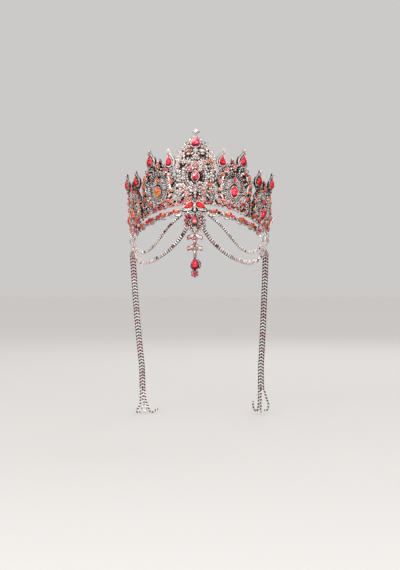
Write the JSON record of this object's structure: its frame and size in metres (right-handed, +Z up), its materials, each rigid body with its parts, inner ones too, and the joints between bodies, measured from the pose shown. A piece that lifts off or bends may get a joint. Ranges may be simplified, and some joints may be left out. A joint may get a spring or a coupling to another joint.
{
  "type": "bridal crown",
  "caption": "Open-backed bridal crown of openwork panels set with red and clear stones, with a forehead strip, swagged chains, a swinging centre drop and chain tassels at the sides.",
  "frame": {"origin": "centre of the rim circle, where the crown sits on the head", "axes": "+Z up as worn, front of the crown towards -Y, +X to the right seen from the front"},
  "size_m": [0.1714, 0.092, 0.3163],
  "materials": {
    "silver": "bright silver-white plated casting, softly polished, darker in its recesses",
    "silver_chain": "silver-white plated chain and cup chain, fine bright facets",
    "red_stone": "faceted foil-backed red glass",
    "coral_stone": "faceted foil-backed coral glass",
    "clear_stone": "faceted foil-backed clear glass"
  },
  "bodies": {
    "root": {"bow_mount": "silver", "bow_pear_left": "red_stone", "bow_pear_right": "red_stone", "centre_navette": "red_stone", "centre_panel": "silver", "end_pear_left": "red_stone", "end_pear_right": "red_stone", "end_piece_left": "silver", "end_piece_right": "silver", "finial_pear": "red_stone", "finial_tip": "clear_stone", "forehead_strip_left": "silver", "forehead_strip_right": "silver", "inner_navette_left": "coral_stone", "inner_navette_right": "coral_stone", "inner_oval_stone_left": "red_stone", "inner_oval_stone_right": "red_stone", "inner_panel_left": "silver", "inner_panel_right": "silver", "inner_spire_pear_1_left": "red_stone", "inner_spire_pear_1_right": "red_stone", "inner_spire_pear_2_left": "red_stone", "inner_spire_pear_2_right": "red_stone", "outer_navette_left": "coral_stone", "outer_navette_right": "coral_stone", "outer_oval_stone_left": "red_stone", "outer_oval_stone_right": "red_stone", "outer_panel_left": "silver", "outer_panel_right": "silver", "outer_spire_pear_1_left": "red_stone", "outer_spire_pear_1_right": "red_stone", "outer_spire_pear_2_left": "red_stone", "outer_spire_pear_2_right": "red_stone", "pendant_pear": "red_stone", "pendant_top": "silver", "rim_wire": "silver", "side_link_back_left": "silver", "side_link_back_right": "silver", "side_link_front_left": "silver", "side_link_front_right": "silver", "swag_inner_left": "silver_chain", "swag_inner_right": "silver_chain", "swag_outer_left": "silver_chain", "swag_outer_right": "silver_chain", "tassel_cap_left": "silver", "tassel_cap_right": "silver", "tassel_clasp_ring_left": "silver", "tassel_ring_left": "silver", "tassel_ring_right": "silver", "tassel_strand_left_1": "silver_chain", "tassel_strand_left_2": "silver_chain", "tassel_strand_left_3": "silver_chain", "tassel_strand_right_1": "silver_chain", "tassel_strand_right_2": "silver_chain", "tassel_strand_right_3": "silver_chain"},
    "drop": {"drop_mount": "silver", "drop_pear": "red_stone"}
  },
  "joints": [
    {"name": "drop_swing", "type": "hinge", "parent": "root", "child": "drop", "pos_m": [0, -0.0797, -0.0104], "axis": [1, 0, 0], "range_deg": [-55, 55]}
  ]
}
